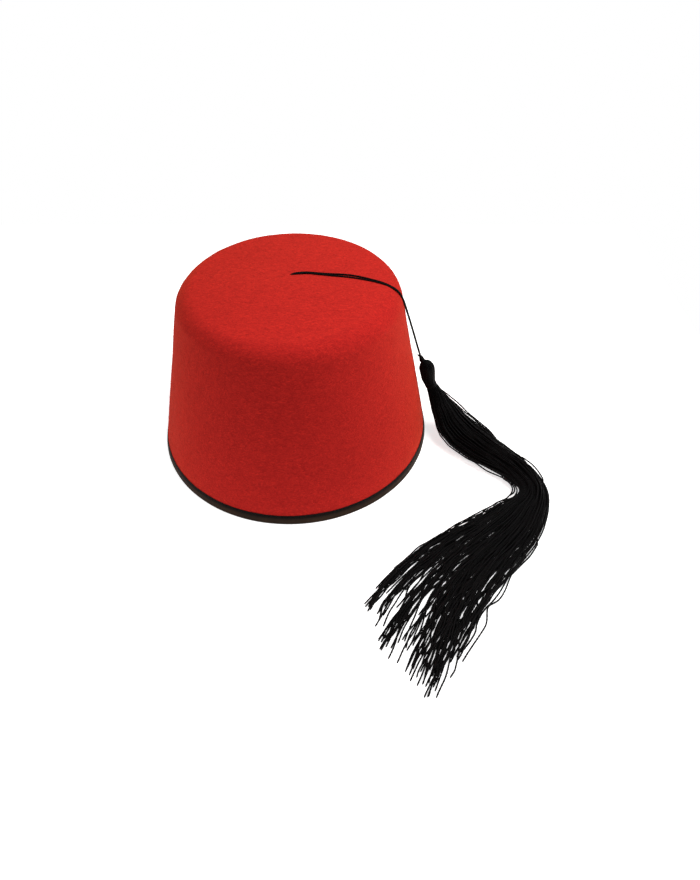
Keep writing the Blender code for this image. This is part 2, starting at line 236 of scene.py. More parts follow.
BUNDLE = (
    # run, the strands' left edge, right edge and half height in millimetres
    (0, -4.4, 4.2, 4), (0.01, -7, 6, 5), (0.03, -10.4, 8, 6.2), (0.06, -13.8, 9.6, 6.3),
    (0.09, -16.4, 11.8, 5.2), (0.13, -16, 14.4, 4), (0.16, -14.4, 15.2, 4), (0.2, -12.6, 15.3, 4),
    (0.23, -10.8, 14.8, 4), (0.25, -9.8, 14.4, 4), (0.275, -8.6, 14.3, 4), (0.3, -7.6, 13.4, 4),
    (0.32, -6.8, 12.4, 4.1), (0.34, -5.8, 11.8, 4.1), (0.36, -5.8, 11.8, 4.1), (0.38, -7.8, 12, 4),
    (0.4, -11.2, 12.4, 3.9), (0.42, -15, 13.2, 3.7), (0.44, -17.8, 14.4, 3.5), (0.47, -19.6, 16.6, 3.3),
    (0.5, -21.3, 18.8, 3.1), (0.55, -23.2, 20.9, 2.8), (0.6, -25.2, 22.4, 2.5), (0.65, -26.1, 23.8, 2.2),
    (0.7, -27, 25.4, 2), (0.75, -28.4, 26.4, 1.9), (0.8, -30.3, 27.2, 1.8), (0.9, -31, 28.5, 1.6),
    (1, -31.5, 29.5, 1.5),
)

# The skirt's tips that show: share of the run, millimetres across and strands
TIPS = (
    (0.745, -30, 1), (0.8, -30.8, 1), (0.853, -31, 2), (0.865, -26.8, 2), (0.855, -18.5, 1),
    (0.888, -19.2, 1), (0.913, -12.2, 1), (0.93, -11.2, 2), (0.93, -10, 2), (0.922, -8.5, 2),
    (0.917, -6, 1), (0.943, -4.5, 1), (0.945, 0.8, 1), (0.91, 2, 2), (0.865, 3.5, 1), (0.88, 5.5, 1),
    (0.958, 6.8, 2), (0.959, 9, 1), (0.971, 10.5, 2), (0.974, 14.8, 3), (0.938, 8.2, 2), (0.942, 12.6, 2),
    (0.955, 16.3, 2), (0.969, 17.8, 4), (0.93, 19.2, 2), (0.952, 22.8, 2), (0.994, 19.7, 1),
    (0.992, 21.7, 2), (0.972, 24.2, 3), (0.984, 25.7, 1), (0.895, 24.5, 1), (0.862, 27.5, 1),
    (0.882, 30, 1),
)

# No other strand reaches past this line: millimetres across and share of the run
CUT_LINE = (
    (-31, 0.8), (-29, 0.85), (-26, 0.865), (-19, 0.88), (-12, 0.915), (0, 0.93), (7, 0.95), (14, 0.965),
    (20, 0.98), (25, 0.965), (27.5, 0.88), (30, 0.85),
)

# Single strands that leave the bundle: side, and share of the run with millimetres across
STRAYS = (
    (1, ((0, 3.6), (0.012, 7.6), (0.03, 10.3), (0.05, 12), (0.075, 13.6), (0.1, 15.2),
        (0.13, 16.9), (0.16, 16.2))),
    (1, ((0.01, 5.2), (0.03, 8.3), (0.05, 10), (0.08, 12.7), (0.11, 14.4), (0.14, 15.6))),
    (1, ((0.03, 7.4), (0.06, 9.8), (0.09, 11.8), (0.12, 14.4), (0.15, 15.4))),
    (1, ((0.27, 14.3), (0.29, 14.4), (0.305, 14), (0.33, 12.6))),
    (-1, ((0.215, -12), (0.24, -12.2), (0.255, -11.6), (0.28, -9.8), (0.3, -8.4))),
    (-1, ((0.29, -7.8), (0.31, -7.2), (0.33, -7.8), (0.35, -9.4), (0.37, -11.3), (0.39, -13.2),
         (0.41, -15.6), (0.435, -18), (0.46, -19.6), (0.49, -20.8))),
    (-1, ((0.31, -6.6), (0.33, -6.9), (0.35, -7.9), (0.37, -9.8), (0.385, -12.2), (0.4, -13.6),
         (0.425, -16.6), (0.45, -18.4))),
    (-1, ((0.33, -6.2), (0.35, -6.4), (0.37, -7.8), (0.39, -10), (0.41, -13.4), (0.43, -16),
         (0.45, -17.8))),
    (1, ((0.56, 20.8), (0.6, 23.3), (0.64, 27), (0.67, 28.5), (0.69, 28), (0.705, 26.9),
        (0.72, 27.3), (0.75, 30.5), (0.77, 31.7), (0.8, 31.6), (0.84, 30.8), (0.882, 30))),
    (1, ((0.55, 20.2), (0.583, 21.6), (0.62, 23.8), (0.66, 26), (0.7, 26.9), (0.72, 26.5),
        (0.75, 26.5), (0.78, 27.5), (0.8, 28.8), (0.83, 28.6), (0.862, 27.4))),
    (1, ((0.5, 19.6), (0.53, 21.4), (0.56, 22), (0.59, 22.6))),
    (-1, ((0.62, -26.2), (0.65, -27.4), (0.675, -28.8), (0.695, -28.6), (0.72, -28.9), (0.745, -30))),
    (-1, ((0.7, -27.4), (0.73, -28.6), (0.76, -29.5), (0.785, -30.2), (0.805, -30.8))),
    (-1, ((0.735, -25.8), (0.77, -26.6), (0.8, -28.2), (0.83, -30.1), (0.85, -31.2))),
)

# How far the tassel's head and neck bend to the right, by height
HEAD_BEND = (
    (0.014, 0), (0.02, -0.3), (0.026, -0.6), (0.03, -0.9), (0.034, -1.2), (0.037, -1.1), (0.041, -0.2),
    (0.045, 0.7), (0.048, 1), (0.055, 0.9),
)


def table(rows, shares):
    """The columns of a table after the first, read straight between its rows."""
    rows = np.array(rows, float)
    return [np.interp(shares, rows[:, 0], column) for column in rows.T[1:]]


def smooth_rows(rows, steps):
    """Rows of numbers read from a smooth curve through the given rows, steps to a span."""
    rows = np.array(rows, float)
    padded = np.vstack([rows[:1], rows, rows[-1:]])
    before, low, high, after = padded[:-3, None], padded[1:-2, None], padded[2:-1, None], padded[3:, None]
    t = (np.arange(steps) / steps)[None, :, None]
    bend = (2 * before - 5 * low + 4 * high - after) * t + (3 * low - before - 3 * high + after) * t * t
    read = low + 0.5 * t * (high - before + bend)
    return np.vstack([read.reshape(-1, rows.shape[1]), rows[-1:]])


def run_along(path):
    """Distance along a path at each of its points."""
    return np.concatenate([[0], np.linalg.norm(np.diff(path, axis=0), axis=1).cumsum()])


def evenly(path, step):
    """Points along a path, about one step apart."""
    along = run_along(path)
    places = np.linspace(0, along[-1], max(2, round(along[-1] / step) + 1))
    return np.stack([np.interp(places, along, column) for column in path.T], 1)


def unit(v):
    v = np.asarray(v, float)
    return v / np.maximum(np.linalg.norm(v, axis=-1, keepdims=True), 1e-12)


def smoothstep(low, high, x):
    t = np.clip((np.asarray(x, float) - low) / (high - low), 0, 1)
    return t * t * (3 - 2 * t)


def turning_frames(path):
    """Directions along and across a path, turning with it as little as they can."""
    along = unit(np.gradient(path, axis=0))
    steep = abs(along[0][2]) >= 0.9
    now = np.array((0, 1, 0) if steep else (0, 0, 1), float)
    across = np.empty_like(along)
    for i, direction in enumerate(along):
        now = now - direction * now.dot(direction)
        now = now / np.sqrt(now.dot(now))
        across[i] = now
    return along, across, np.cross(along, across)


def ripple(points, size, reach, seed, waves=7):
    """A smooth uneven height over the points, from a few sine waves about one size long."""
    rng = np.random.default_rng(seed)
    total = np.zeros(len(points))
    for _ in range(waves):
        direction = unit(rng.normal(size=3))
        total += np.sin(points @ direction * 2 * pi / (size * rng.uniform(0.7, 1.4)) + rng.uniform(0, 2 * pi))
    return total * reach / waves ** 0.5


class Mesh:
    """Gathers tubes and skins, and makes one object of them."""

    def __init__(self):
        self.points, self.quads, self.caps, self.tints, self.places, self.count = [], [], [], [], [], 0

    def add(self, points, quads, caps=(), tint=0.5, places=None):
        self.points.append(np.asarray(points, np.float32))
        self.quads.append(np.asarray(quads, np.int64) + self.count)
        self.caps.extend(np.asarray(cap, np.int64) + self.count for cap in caps)
        self.tints.append(np.broadcast_to(tint, len(points)).astype(np.float32))
        self.places.append(np.zeros((len(points), 2)) if places is None else places)
        self.count += len(points)

    def tube(self, path, radius, sides=8, ply=0.0, lay=0.003, turn=0.0, tint=0.5):
        """A tube along a path. ply is the height of two lobes that go once round in each lay."""
        path = np.asarray(path, float)
        radius = np.broadcast_to(np.asarray(radius, float), len(path))
        _, across, up = turning_frames(path)
        run = run_along(path)
        angle = 2 * pi * np.arange(sides) / sides
        twist = 2 * pi * run / lay + turn
        reach = radius[:, None] * (1 + ply * np.cos(2 * (angle[None] - twist[:, None])))
        ring = across[:, None] * (reach * np.cos(angle))[..., None]
        ring = ring + up[:, None] * (reach * np.sin(angle))[..., None]
        quads, caps = tube_faces(len(path), sides)
        places = np.stack([np.repeat(run, sides), np.tile(angle / (2 * pi), len(path))], 1)
        self.add((path[:, None] + ring).reshape(-1, 3), quads, caps, tint, places)

    def object(self, name, finish):
        mesh = bpy.data.meshes.new(name)
        points = np.concatenate(self.points)
        quads = np.concatenate(self.quads)
        corners = np.concatenate([quads.ravel(), *self.caps])
        sizes = np.concatenate([np.full(len(quads), 4), [len(cap) for cap in self.caps]]).astype(np.int64)
        mesh.vertices.add(len(points))
        mesh.vertices.foreach_set("co", points.ravel())
        mesh.loops.add(len(corners))
        mesh.loops.foreach_set("vertex_index", corners.astype(np.int32))
        mesh.polygons.add(len(sizes))
        mesh.polygons.foreach_set("loop_start", (np.cumsum(sizes) - sizes).astype(np.int32))
        mesh.update(calc_edges=True)
        mesh.shade_smooth()
        tint = mesh.attributes.new("tint", "FLOAT", "POINT")
        tint.data.foreach_set("value", np.concatenate(self.tints))
        layer = mesh.uv_layers.new(name="thread_run")
        places = np.concatenate(self.places).astype(np.float32)
        layer.uv.foreach_set("vector", places[corners].ravel())
        mesh.materials.append(finish)
        mesh.validate()
        obj = bpy.data.objects.new(name, mesh)
        bpy.context.scene.collection.objects.link(obj)
        return obj


def tube_faces(rings, sides, loop=False):
    """Faces between rings of points, with a cap at each end unless the rings are a loop."""
    i = np.arange(rings if loop else rings - 1)[:, None] * sides
    j = np.arange(sides)[None]
    k = (j + 1) % sides
    up = (i + sides) % (rings * sides)
    quads = np.stack([i + j, i + k, up + k, up + j], -1).reshape(-1, 4)
    last = (rings - 1) * sides
    caps = () if loop else (np.arange(sides)[::-1], np.arange(last, last + sides))
    return quads, caps


def node(tree, kind, inputs=None, **settings):
    """A shader node with its settings and inputs, which are values or other nodes' sockets."""
    made = tree.nodes.new(kind)
    for name, value in settings.items():
        setattr(made, name, value)
    for place, value in (inputs or {}).items():
        socket = made.inputs[place]
        if isinstance(value, bpy.types.NodeSocket):
            tree.links.new(value, socket)
        else:
            socket.default_value = value
    return made


def colour_ramp(tree, factor, stops):
    ramp = node(tree, "ShaderNodeValToRGB", {"Fac": factor})
    elements = ramp.color_ramp.elements
    while len(elements) < len(stops):
        elements.new(0.5)
    for element, (place, colour) in zip(elements, stops):
        element.position = place
        element.color = (*colour, 1.0)
    return ramp.outputs["Color"]


def noise(tree, vector, scale, detail=2.0, roughness=0.5, distortion=0.0):
    made = node(tree, "ShaderNodeTexNoise", {
        "Vector": vector, "Scale": scale, "Detail": detail, "Roughness": roughness, "Distortion": distortion,
    })
    return made.outputs["Fac"]


def new_material(name, **sockets):
    """A Principled material with its plain sockets set, and its tree and shader."""
    made = bpy.data.materials.new(name)
    made.use_nodes = True
    shader = made.node_tree.nodes["Principled BSDF"]
    for socket, value in sockets.items():
        shader.inputs[socket.replace("_", " ")].default_value = value
    return made, made.node_tree, shader


def scaled(tree, vector, scale, turn=0.0):
    turned = node(tree, "ShaderNodeVectorRotate", {"Vector": vector, "Angle": turn}, rotation_type="Z_AXIS")
    mapping = node(tree, "ShaderNodeMapping", {"Vector": turned.outputs["Vector"], "Scale": scale})
    return mapping.outputs["Vector"]


def mix_colour(tree, factor, a, b):
    a, b = ((*colour, 1.0) if isinstance(colour, tuple) else colour for colour in (a, b))
    return node(tree, "ShaderNodeMix", {0: factor, 6: a, 7: b}, data_type="RGBA").outputs[2]


def maths(tree, operation, a, b=0.0):
    return node(tree, "ShaderNodeMath", {0: a, 1: b}, operation=operation).outputs[0]


def bump(tree, height, strength, distance, normal=None):
    inputs = {"Height": height, "Strength": strength, "Distance": distance}
    if normal is not None:
        inputs["Normal"] = normal
    return node(tree, "ShaderNodeBump", inputs).outputs["Normal"]


def felt_material():
    """Pressed wool: a fine red mottle with short fibres that lie every way, a warm nap and a matt finish."""
    made, tree, shader = new_material(
        "felt", Roughness=0.95, Specular_IOR_Level=0.05, Sheen_Weight=0.28, Sheen_Roughness=0.45,
        Sheen_Tint=(1.0, 0.14, 0.025, 1.0),
    )
    place = node(tree, "ShaderNodeTexCoord").outputs["Object"]
    cloud = noise(tree, place, scale=24.0)
    mottle = noise(tree, place, scale=420.0, detail=3.5, roughness=0.62, distortion=0.8)
    fibres = []
    for scale, turn in FIBRE_LAYERS:
        stretched = scaled(tree, place, scale, turn)
        fibres.append(noise(tree, stretched, scale=1.0, detail=3.0, roughness=0.65, distortion=2.2))
    weave = maths(tree, "MAXIMUM", maths(tree, "MAXIMUM", fibres[1], fibres[2]), fibres[0])
    weave = maths(tree, "ADD", maths(tree, "MULTIPLY", weave, 0.55), maths(tree, "MULTIPLY", fibres[0], 0.45))
    deep, plain, bright = (0.285, 0.0086, 0.0088), (0.452, 0.0157, 0.0138), (0.65, 0.0245, 0.0172)
    base = colour_ramp(tree, mottle, ((0.22, deep), (0.5, plain), (0.78, bright)))
    wool = colour_ramp(tree, weave, ((0.43, deep), (0.54, plain), (0.66, bright)))
    base = mix_colour(tree, 0.75, base, wool)
    base = mix_colour(tree, maths(tree, "MULTIPLY", cloud, 0.22), base, deep)
    tree.links.new(base, shader.inputs["Base Color"])
    normal = bump(tree, mottle, strength=0.5, distance=0.0003)
    normal = bump(tree, weave, strength=0.75, distance=0.00028, normal=normal)
    tree.links.new(normal, shader.inputs["Normal"])
    return made


def ribbon_material():
    """Ribbed binding ribbon: dark brown grey, with a faint lustre on the ribs and painted shade in its fold,
    groove and foot.
    """
    made, tree, shader = new_material(
        "ribbon", Specular_IOR_Level=0.05, Sheen_Weight=0.03, Sheen_Roughness=0.5,
        Sheen_Tint=(0.95, 0.62, 0.48, 1.0),
    )
    place = node(tree, "ShaderNodeTexCoord").outputs["Object"]
    worn = noise(tree, place, scale=90.0, detail=4.0, roughness=0.6)
    yarn = noise(tree, scaled(tree, place, (900.0, 900.0, 5200.0)), scale=1.0, distortion=0.3)
    # painted shade: the tint attribute darkens the ribbon to near black over its fold at the top, in the
    # stitch groove and round its foot
    edge = node(tree, "ShaderNodeAttribute", attribute_name="tint").outputs["Fac"]
    body = colour_ramp(tree, worn, ((0.25, (0.019, 0.01, 0.0056)), (0.75, (0.04, 0.0215, 0.012))))
    body = mix_colour(tree, edge, body, (0.0065, 0.0048, 0.0042))
    body = mix_colour(tree, maths(tree, "MULTIPLY", yarn, 0.45), body, (0.012, 0.0085, 0.0065))
    tree.links.new(body, shader.inputs["Base Color"])
    rough = maths(tree, "ADD", maths(tree, "MULTIPLY", worn, 0.25), 0.5)
    tree.links.new(rough, shader.inputs["Roughness"])
    tree.links.new(bump(tree, yarn, strength=0.6, distance=0.00012), shader.inputs["Normal"])
    return made


def thread_material(name, base, gloss, lay):
    """Twisted black rayon: slanting filaments, a dull lustre and strands of uneven depth."""
    made, tree, shader = new_material(
        name, Specular_IOR_Level=0.055, Sheen_Weight=0.006, Sheen_Roughness=0.4,
        Sheen_Tint=(0.85, 0.78, 0.8, 1.0),
    )
    run = node(tree, "ShaderNodeSeparateXYZ", {
        "Vector": node(tree, "ShaderNodeUVMap", uv_map="thread_run").outputs["UV"],
    })
    turns = maths(tree, "DIVIDE", run.outputs["X"], lay)
    slant = maths(tree, "MULTIPLY", maths(tree, "SUBTRACT", run.outputs["Y"], turns), 2.0)
    wave = maths(tree, "SINE", maths(tree, "MULTIPLY", slant, 2 * pi * FILAMENTS))
    ridges = maths(tree, "ADD", maths(tree, "MULTIPLY", wave, 0.5), 0.5)
    place = node(tree, "ShaderNodeTexCoord").outputs["Object"]
    lint = noise(tree, place, scale=700.0, detail=3.0, roughness=0.6)
    tint = node(tree, "ShaderNodeAttribute", attribute_name="tint").outputs["Fac"]
    dark, plain, light = (tuple(c * share for c in base) for share in (0.45, 1.0, 1.9))
    body = colour_ramp(tree, tint, ((0.0, dark), (0.55, plain), (1.0, light)))
    body = mix_colour(tree, maths(tree, "MULTIPLY", lint, 0.45), body, dark)
    tree.links.new(body, shader.inputs["Base Color"])
    rough = maths(tree, "ADD", maths(tree, "MULTIPLY", ridges, -0.1), gloss)
    tree.links.new(maths(tree, "ADD", rough, maths(tree, "MULTIPLY", lint, 0.2)), shader.inputs["Roughness"])
    normal = bump(tree, ridges, strength=0.55, distance=0.00012)
    normal = bump(tree, lint, strength=0.25, distance=0.00008, normal=normal)
    tree.links.new(normal, shader.inputs["Normal"])
    return made


def place_piece(obj, slot, *nodes):
    """Puts a finished piece on the hat's body and hides the CAD nodes that it stands for. The slot is not
    used.
    """
    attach(obj, ROOT)
    if nodes:
        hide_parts(*nodes)
    return obj


def add_camera():
    data = bpy.data.cameras.new("camera")
    data.sensor_width = SENSOR
    data.lens = FOCAL_PIXELS * SENSOR / FRAME_HEIGHT
    data.clip_start = 0.01
    data.clip_end = 50
    obj = bpy.data.objects.new("camera", data)
    obj.location = CAMERA_PLACE
    obj.rotation_euler = (radians(90 - CAMERA_ELEVATION), 0, 0)
    bpy.context.scene.collection.objects.link(obj)
    bpy.context.scene.camera = obj


def add_light(name, kind, tilt, heading, distance=0.0):
    """A light that faces the middle of the hat's foot. The sun needs no distance."""
    tilt, heading = radians(tilt), radians(heading)
    away = Vector((sin(tilt) * cos(heading), sin(tilt) * sin(heading), cos(tilt)))
    data = bpy.data.lights.new(name, kind)
    obj = bpy.data.objects.new(name, data)
    obj.location = away * distance
    obj.rotation_euler = (-away).to_track_quat("-Z", "Y").to_euler()
    bpy.context.scene.collection.objects.link(obj)
    return obj


def add_studio():
    """A white floor lit from within, an even fill, a soft key on the right and a weak light on the left."""
    scene = bpy.context.scene
    scene.view_settings.view_transform = "Standard"
    world = bpy.data.worlds.new("studio")
    scene.world = world
    world.use_nodes = True
    tree = world.node_tree
    background = tree.nodes["Background"]
    background.inputs["Color"].default_value = (1, 1, 1, 1)
    seen = node(tree, "ShaderNodeLightPath").outputs["Is Camera Ray"]
    strength = maths(tree, "ADD", maths(tree, "MULTIPLY", seen, 1.0 - FILL), FILL)
    tree.links.new(strength, background.inputs["Strength"])
    key = add_light("key", "AREA", KEY_TILT, KEY_HEADING, KEY_DISTANCE)
    key.visible_camera = False
    key.data.shape = "DISK"
    key.data.size = 2 * KEY_RADIUS
    key.data.color = KEY_COLOUR
    shine = KEY / (sin(atan(KEY_RADIUS / KEY_DISTANCE)) ** 2 * cos(radians(KEY_TILT)))
    key.data.energy = shine * pi * pi * KEY_RADIUS ** 2
    back = add_light("back", "SUN", BACK_TILT, BACK_HEADING)
    back.data.energy = BACK * pi / cos(radians(BACK_TILT))
    back.data.angle = radians(BACK_ANGLE)
    made, tree, shader = new_material("floor_white", Roughness=0.9, Specular_IOR_Level=0.1)
    place = node(tree, "ShaderNodeTexCoord").outputs["Object"]
    grain = noise(tree, place, scale=40.0)
    tone = colour_ramp(tree, grain, ((0.3, (0.9, 0.9, 0.9)), (0.7, (0.93, 0.93, 0.93))))
    tree.links.new(tone, shader.inputs["Base Color"])
    tree.links.new(tone, shader.inputs["Emission Color"])
    shader.inputs["Emission Strength"].default_value = FLOOR_GLOW
    half = FLOOR_HALF
    floor = Mesh()
    floor.add([(-half, -half, 0), (half, -half, 0), (half, half, 0), (-half, half, 0)], [(0, 1, 2, 3)])
    floor.object("floor", made)


def lean():
    return (FOOT_HALF_WIDTH - TOP_HALF_WIDTH) / CROWN_HEIGHT


def side_half_width(z):
    return FOOT_HALF_WIDTH - lean() * z


def dome_height(x, y):
    share = np.hypot(x, y / OVAL) / TOP_HALF_WIDTH
    return CROWN_HEIGHT + DOME_RISE * (1 - share * share)


def shoulder():
    """The shoulder's centre, half width and height, and the angles where it meets the side and the top."""
    side_angle = atan(lean())
    dome_angle = pi / 2 - atan(2 * DOME_RISE / TOP_HALF_WIDTH)
    reach = SHOULDER_RADIUS * tan((dome_angle - side_angle) / 2)
    start_z = CROWN_HEIGHT - reach * cos(side_angle)
    centre_x = side_half_width(start_z) - SHOULDER_RADIUS * cos(side_angle)
    return centre_x, start_z - SHOULDER_RADIUS * sin(side_angle), side_angle, dome_angle


def felt_rise(points):
    """How far the felt stands out from the CAD's face: a little all over, and unevenly above the foot."""
    z = points[:, 2]
    foot = smoothstep(*FOOT_SWELL_STARTS, z) - smoothstep(*FOOT_SWELL_ENDS, z)
    uneven = ripple(points, size=0.085, reach=0.00018, seed=3)
    uneven = uneven + ripple(points, size=0.03, reach=0.00007, seed=4)
    return FELT_SWELL + FOOT_SWELL * foot + smoothstep(*UNEVEN_STARTS, z) * uneven


def crown_grid():
    """Rings of the felt's outer face, from the cord's hole out over the top and down to the foot."""
    angle = 2 * pi * np.arange(CROWN_SIDES) / CROWN_SIDES
    centre_x, centre_z, side_angle, dome_angle = shoulder()
    bends = np.linspace(dome_angle, side_angle, SHOULDER_RINGS)
    arc = np.array([centre_x, centre_z]) + SHOULDER_RADIUS * np.stack([np.cos(bends), np.sin(bends)], 1)
    rings = []
    for step in range(DOME_RINGS):
        share = (step / DOME_RINGS) ** DOME_CROWDING
        reach_x = EXIT_HALF[0] + (arc[0][0] - EXIT_HALF[0]) * share
        reach_y = EXIT_HALF[1] + (arc[0][0] * OVAL - EXIT_HALF[1]) * share
        x = EXIT_CENTRE[0] * (1 - share) + reach_x * np.cos(angle)
        y = EXIT_CENTRE[1] * (1 - share) + reach_y * np.sin(angle)
        rings.append(np.stack([x, y, dome_height(x, y)], 1))
    side = np.linspace(arc[-1][1], RIBBON + GAP, SIDE_RINGS)[1:]
    for half_width, z in [*arc, *((side_half_width(z), z) for z in side)]:
        x = half_width * np.cos(angle)
        rings.append(np.stack([x, half_width * OVAL * np.sin(angle), np.full_like(x, z)], 1))
    return np.array(rings)


def grid_normals(grid):
    """Outward directions of a grid of rings that run outwards or downwards."""
    round_way = np.roll(grid, -1, 1) - np.roll(grid, 1, 1)
    down_way = np.gradient(grid, axis=0)
    return unit(np.cross(down_way, round_way))


def make_crown(finish):
    """The felt shell with its slight lumps and the small hole that the cord comes out of."""
    grid = crown_grid()
    normals = grid_normals(grid)
    flat = grid.reshape(-1, 3)
    lumps = ripple(flat, size=0.0068, reach=0.000025, seed=5, waves=12)
    outer = grid + normals * (felt_rise(flat) + lumps).reshape(grid.shape[:2])[..., None]
    inner = (outer - grid_normals(outer) * FELT)[::-1]
    inner = np.concatenate([inner[:1], inner[1:-1:3], inner[-1:]])
    foot = (outer[-1:] + inner[:1]) / 2 - np.array([0, 0, HEM_DROP])
    lip = (outer[:1] + inner[-1:]) / 2
    rings = np.concatenate([outer, foot, inner, lip])
    quads, _ = tube_faces(len(rings), CROWN_SIDES, loop=True)
    made = Mesh()
    made.add(rings.reshape(-1, 3), quads[:, ::-1])
    place_piece(made.object("crown_felt", finish), FELT_SLOT, "crown")
    return outer, normals


def make_nap(outer, normals, finish):
    """Short loose fibres that lie over the felt, each a thin bent thread."""
    rng = np.random.default_rng(SEED + 1)
    ring_area = np.linalg.norm(np.roll(outer, -1, 1) - outer, axis=2) * np.linalg.norm(
        np.gradient(outer, axis=0), axis=2)
    weight = (ring_area * (outer[..., 2] > NAP_START)).ravel()
    picks = rng.choice(len(weight), NAP_FIBRES, p=weight / weight.sum())
    place, up = outer.reshape(-1, 3)[picks], normals.reshape(-1, 3)[picks]
    jitter = rng.normal(size=place.shape) * NAP_SCATTER
    place = place + jitter - up * (jitter * up).sum(1)[:, None]
    along = rng.normal(size=place.shape)
    along = unit(along - up * (along * up).sum(1)[:, None])
    bend = np.cross(up, along)
    length = rng.uniform(*NAP_LENGTHS, NAP_FIBRES)[:, None]
    curl = rng.normal(0, NAP_CURL, NAP_FIBRES)[:, None]
    lift = rng.uniform(*NAP_LIFTS, NAP_FIBRES)[:, None]
    steps, sides = 4, 3
    rings = []
    for t in np.linspace(0, 1, steps):
        centre = place + along * length * (t - 0.5) + bend * curl * length * (t - 0.5) ** 2 * 2
        arch = 1 - (2 * t - 1) ** 2 * rng.uniform(0.5, 1.3, (NAP_FIBRES, 1))
        centre = centre + up * (lift * arch - NAP_SUNK)
        thick = NAP_RADIUS * (1 - 0.55 * abs(2 * t - 1))
        rings.append(np.stack([centre + thick * (up * sin(a) + bend * cos(a)) for a in (0.5, 2.6, 4.7)], 1))
    quads, caps = tube_faces(steps, sides)
    starts = np.arange(NAP_FIBRES)[:, None] * steps * sides
    made = Mesh()
    made.add(np.stack(rings, 1).reshape(-1, 3), (quads[None] + starts[..., None]).reshape(-1, 4),
             (np.array(caps)[None] + starts[:, None]).reshape(-1, sides))
    place_piece(made.object("crown_nap", finish), FELT_SLOT)


def make_binding(finish):
    """A ribbed ribbon folded over the felt's edge, sewn through near its top edge."""
    steps = BINDING_RIBS * RIB_STEPS
    turn = 2 * pi * np.arange(steps) / steps
    outside = FELT_SWELL
    inside = FELT_SWELL - FELT * hypot(1, lean() * OVAL)
    rows = [(outside + out, *others) for out, *others in RIBBON_OUTSIDE]
    rows += [(inside + out, *others) for out, *others in RIBBON_INSIDE]
    section = np.array([*rows, (outside + RIBBON_OUTSIDE[0][0], *RIBBON_INSIDE[-1][1:])])
    rib = np.abs(np.cos(turn * BINDING_RIBS / 2)) - RIB_LEVEL
    around = np.stack([np.cos(turn), np.sin(turn) * OVAL, 0 * turn], 1) * FOOT_HALF_WIDTH
    uneven = ripple(around, size=0.018, reach=1.0, seed=8)
    pucker = ripple(around, size=0.0065, reach=1.0, seed=9)
    joint = np.mod(turn - LAP_PLACE, 2 * pi)
    lap = smoothstep(0, LAP_EDGE, joint) * (joint < LAP_TURN)
    rings = []
    for reach, z, depth, _ in section:
        face = 1.0 if reach > 0 else -1.0
        offset = reach + face * depth * (RIB_DEPTH * rib + RIBBON_UNEVEN * uneven)
        offset = offset + face * (depth > 0) * LAP_RISE * lap * (z > 0.0003)
        height = z + (RIBBON_PUCKER * pucker - LAP_DROP * lap) * (z > 0.0055)
        half = side_half_width(z)
        rings.append(np.stack([np.cos(turn) * (half + offset), np.sin(turn) * (half * OVAL + offset),
                               np.broadcast_to(height, turn.shape)], 1))
    quads, _ = tube_faces(len(section), steps, loop=True)
    made = Mesh()
    # the section's last column, the painted shade, goes on as the tint attribute
    made.add(np.array(rings).reshape(-1, 3), quads, tint=np.repeat(section[:, 3], steps))
    place_piece(made.object("rim_ribbon", finish), RIBBON_SLOT, "rim_binding")


def make_stitches(finish):
    """The row of stitches that holds the ribbon, sunk in a groove under its top edge."""
    rng = np.random.default_rng(SEED + 2)
    made = Mesh()
    half = side_half_width(STITCH_HEIGHT) + FELT_SWELL + STITCH_PROUD
    span = 2 * pi / STITCHES * STITCH_SHARE
    for i in range(STITCHES):
        centre = 2 * pi * (i + rng.normal(0, 0.05)) / STITCHES
        t = np.linspace(-1, 1, 9)
        turns = centre + span * t
        out = half - STITCH_DEPTH * t ** 4
        z = STITCH_HEIGHT + rng.normal(0, 0.00005) + 0.00006 * t
        path = np.stack([np.cos(turns) * out, np.sin(turns) * (out + FOOT_HALF_WIDTH * (OVAL - 1)), z], 1)
        radius = STITCH_RADIUS * np.sqrt(1.05 - t ** 6)
        made.tube(path, radius, 7, ply=0.12, lay=0.0012, tint=rng.uniform(0.3, 0.8))
    place_piece(made.object("rim_stitches", finish), RIBBON_SLOT)


def head_axis():
    heading = radians(HEAD_HEADING)
    tilt = radians(HEAD_LEAN)
    return np.array([sin(tilt) * cos(heading), sin(tilt) * sin(heading), -cos(tilt)])


def strand_path(side):
    """One strand of the doubled cord, from the hole to the tassel: side is -1 in front and 1 behind.

    On the hat it lies against the felt, and where it hangs the two strands turn side by side.
    """
    rows = smooth_rows(CORD_ROUTE, 10)
    route, apart = rows[:, :3], rows[:, 3:]
    centre_x, centre_z, _, _ = shoulder()
    outwards = np.maximum(route - np.array([centre_x, 0, centre_z]), 0) * np.array([1, 0, 1])
    lift = (felt_rise(route) - GAP - CORD_SUNK) * smoothstep(*ON_FELT, route[:, 2])
    turn = HANGING_TURN * smoothstep(*HANGING, route[:, 2])
    sideways = np.stack([np.sin(turn), np.cos(turn), 0 * turn], 1)
    return evenly(route + unit(outwards) * lift[:, None] + side * sideways * apart / 2, CORD_STEP)


def make_cords(finish):
    for side, name in ((-1, "front"), (1, "back")):
        path = strand_path(side)
        made = Mesh()
        made.tube(path, CORD_DIAMETER / 2 * CORD_FULLNESS, 14, CORD_PLY, CORD_LAY, turn=side, tint=0.55)
        obj = place_piece(made.object(f"cord_{name}", finish), THREAD_SLOT, f"cord_strand_{name}")


def bent(points):
    """Points of the head, neck and skirt, moved as the head bends."""
    points = np.array(points, float)
    heights, reach = np.array(HEAD_BEND).T
    points[..., 0] += np.interp(points[..., 2], heights, reach) * MM
    return points


def knot_frame():
    """Top of the tassel's knot, the head's axis and two directions across it."""
    axis = head_axis()
    across = unit(np.cross(axis, (0, 1, 0)))
    return np.array(CORD_ROUTE[-1][:3]) + axis * GAP, axis, across, np.cross(axis, across)


